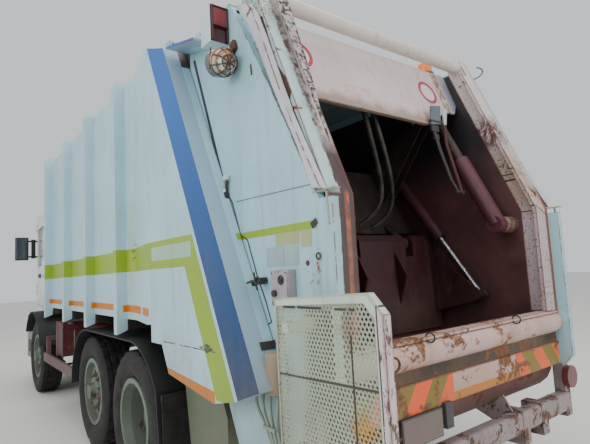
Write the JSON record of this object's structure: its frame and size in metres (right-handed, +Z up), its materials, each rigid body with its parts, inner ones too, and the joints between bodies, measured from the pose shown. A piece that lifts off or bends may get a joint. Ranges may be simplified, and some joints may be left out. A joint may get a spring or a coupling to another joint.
{
  "type": "garbage truck",
  "caption": "Rear-loading refuse truck with a tilting cab, ribbed container, lifting tailgate and a slanted packer carriage with a swinging blade.",
  "frame": {"origin": "centre of the whole box's underside, on the ground", "axes": "+Z up, +Y towards the tailgate, so the cab faces -Y, +X to the truck's left side"},
  "size_m": [2.67, 8.32, 3.255],
  "materials": {
    "chassis_dark": "satin",
    "cast_dark": "matt",
    "tank_red": "satin",
    "guard_grey": "matt",
    "guard_brown": "satin",
    "bumper_grey": "satin",
    "body_blue_grey": "semi-gloss",
    "cab_white": "gloss",
    "trim_black": "matt",
    "pane": "clear",
    "interior_grey": "matt",
    "tread_rubber": "matt",
    "rim_green": "satin",
    "rear_pink": "worn",
    "hopper_red": "worn",
    "lamp_red": "gloss",
    "rod_chrome": "polished",
    "lamp_clear": "gloss"
  },
  "bodies": {
    "chassis": {"frame_rails": "chassis_dark", "front_axle": "chassis_dark", "rear_axles": "chassis_dark", "engine_block": "cast_dark", "drive_line": "cast_dark", "chassis_tanks": "tank_red", "mudguards": "guard_grey", "side_guards": "guard_brown", "front_bumper": "bumper_grey", "body_floor": "body_blue_grey", "body_front_wall": "body_blue_grey", "body_wall_left": "body_blue_grey", "body_wall_right": "body_blue_grey", "body_roof": "body_blue_grey", "body_cheeks": "body_blue_grey", "sump_tray": "body_blue_grey", "headlamps": "lamp_clear"},
    "cab": {"cab_shell": "cab_white", "cab_front": "trim_black", "windscreen": "pane", "cab_interior": "interior_grey"},
    "left_door": {"door_left": "cab_white", "door_glass_left": "pane", "mirror_left": "trim_black"},
    "right_door": {"door_right": "cab_white", "door_glass_right": "pane", "mirror_right": "trim_black"},
    "left_knuckle": {"knuckle_left": "chassis_dark"},
    "right_knuckle": {"knuckle_right": "chassis_dark"},
    "steer_rod": {"tie_rod": "chassis_dark"},
    "front_left_wheel": {"tyre_front_left": "tread_rubber", "rim_front_left": "rim_green"},
    "front_right_wheel": {"tyre_front_right": "tread_rubber", "rim_front_right": "rim_green"},
    "second_left_wheel": {"tyre_second_left": "tread_rubber", "rim_second_left": "rim_green"},
    "second_right_wheel": {"tyre_second_right": "tread_rubber", "rim_second_right": "rim_green"},
    "drive_left_wheel": {"tyre_drive_left": "tread_rubber", "rim_drive_left": "rim_green"},
    "drive_right_wheel": {"tyre_drive_right": "tread_rubber", "rim_drive_right": "rim_green"},
    "tailgate": {"tailgate_sides": "body_blue_grey", "tailgate_columns": "rear_pink", "tailgate_roof": "body_blue_grey", "tailgate_header": "rear_pink", "tailgate_sill": "rear_pink", "hopper_bowl": "hopper_red", "side_screen": "rear_pink", "underrun_bar": "rear_pink", "rear_lamps": "lamp_red", "carriage_cylinders": "rear_pink", "control_box": "body_blue_grey", "cross_tube": "rear_pink"},
    "carriage": {"packer_carriage": "rear_pink"},
    "blade": {"packer_blade": "rear_pink"},
    "barrels": {"blade_barrels": "rear_pink"},
    "rods": {"blade_rods": "rod_chrome"},
    "ejector": {"ejector_plate": "hopper_red"}
  },
  "joints": [
    {"name": "cab_tilt", "type": "hinge", "parent": "chassis", "child": "cab", "pos_m": [0, -4.02, 1.125], "axis": [1, 0, 0], "range_deg": [0, 50]},
    {"name": "left_door_swing", "type": "hinge", "parent": "cab", "child": "left_door", "pos_m": [0.99542, -3.903, 1.95], "axis": [0, 0, -1], "range_deg": [0, 70]},
    {"name": "right_door_swing", "type": "hinge", "parent": "cab", "child": "right_door", "pos_m": [-0.99542, -3.903, 1.95], "axis": [0, 0, 1], "range_deg": [0, 70]},
    {"name": "steer_left", "type": "hinge", "parent": "chassis", "child": "left_knuckle", "pos_m": [0.86, -2.8, 0.52], "axis": [0, 0, 1], "range_deg": [-32, 32]},
    {"name": "steer_right", "type": "hinge", "parent": "chassis", "child": "right_knuckle", "pos_m": [-0.86, -2.8, 0.52], "axis": [0, 0, 1], "range_deg": [-32, 32]},
    {"name": "tie_rod_swing", "type": "hinge", "parent": "left_knuckle", "child": "steer_rod", "pos_m": [0.86, -2.53, 0.375], "axis": [0, 0, 1], "range_deg": [-32, 32]},
    {"name": "front_left_roll", "type": "hinge", "parent": "left_knuckle", "child": "front_left_wheel", "pos_m": [1.035, -2.8, 0.52], "axis": [1, 0, 0], "continuous": true},
    {"name": "front_right_roll", "type": "hinge", "parent": "right_knuckle", "child": "front_right_wheel", "pos_m": [-1.035, -2.8, 0.52], "axis": [1, 0, 0], "continuous": true},
    {"name": "second_left_roll", "type": "hinge", "parent": "chassis", "child": "second_left_wheel", "pos_m": [1.05, 0.28, 0.52], "axis": [1, 0, 0], "continuous": true},
    {"name": "second_right_roll", "type": "hinge", "parent": "chassis", "child": "second_right_wheel", "pos_m": [-1.05, 0.28, 0.52], "axis": [1, 0, 0], "continuous": true},
    {"name": "drive_left_roll", "type": "hinge", "parent": "chassis", "child": "drive_left_wheel", "pos_m": [0.93, 1.56, 0.52], "axis": [1, 0, 0], "continuous": true},
    {"name": "drive_right_roll", "type": "hinge", "parent": "chassis", "child": "drive_right_wheel", "pos_m": [-0.93, 1.56, 0.52], "axis": [1, 0, 0], "continuous": true},
    {"name": "tailgate_lift", "type": "hinge", "parent": "chassis", "child": "tailgate", "pos_m": [0, 2.32, 3.218], "axis": [1, 0, 0], "range_deg": [0, 85]},
    {"name": "carriage_slide", "type": "slide", "parent": "tailgate", "child": "carriage", "axis": [0, -0.4364, 0.8998], "range_m": [-0.43, 0]},
    {"name": "blade_swing", "type": "hinge", "parent": "carriage", "child": "blade", "pos_m": [0, 2.72, 1.75], "axis": [1, 0, 0], "range_deg": [0, 70]},
    {"name": "barrel_swing", "type": "hinge", "parent": "carriage", "child": "barrels", "pos_m": [0, 2.49467, 2.34979], "axis": [1, 0, 0], "range_deg": [0, 36.2]},
    {"name": "rod_slide", "type": "slide", "parent": "barrels", "child": "rods", "axis": [0, 0.5798, -0.8148], "range_m": [-0.3862, 0]},
    {"name": "ejector_slide", "type": "slide", "parent": "chassis", "child": "ejector", "axis": [0, 1, 0], "range_m": [0, 3.2]}
  ],
  "couplings": [
    {"joint": "steer_right", "follows": "steer_left", "ratio": 1},
    {"joint": "tie_rod_swing", "follows": "steer_left", "ratio": -1},
    {"joint": "barrel_swing", "follows": "blade_swing", "ratio": 0.51},
    {"joint": "rod_slide", "follows": "blade_swing", "m_per_rad": -0.312}
  ]
}
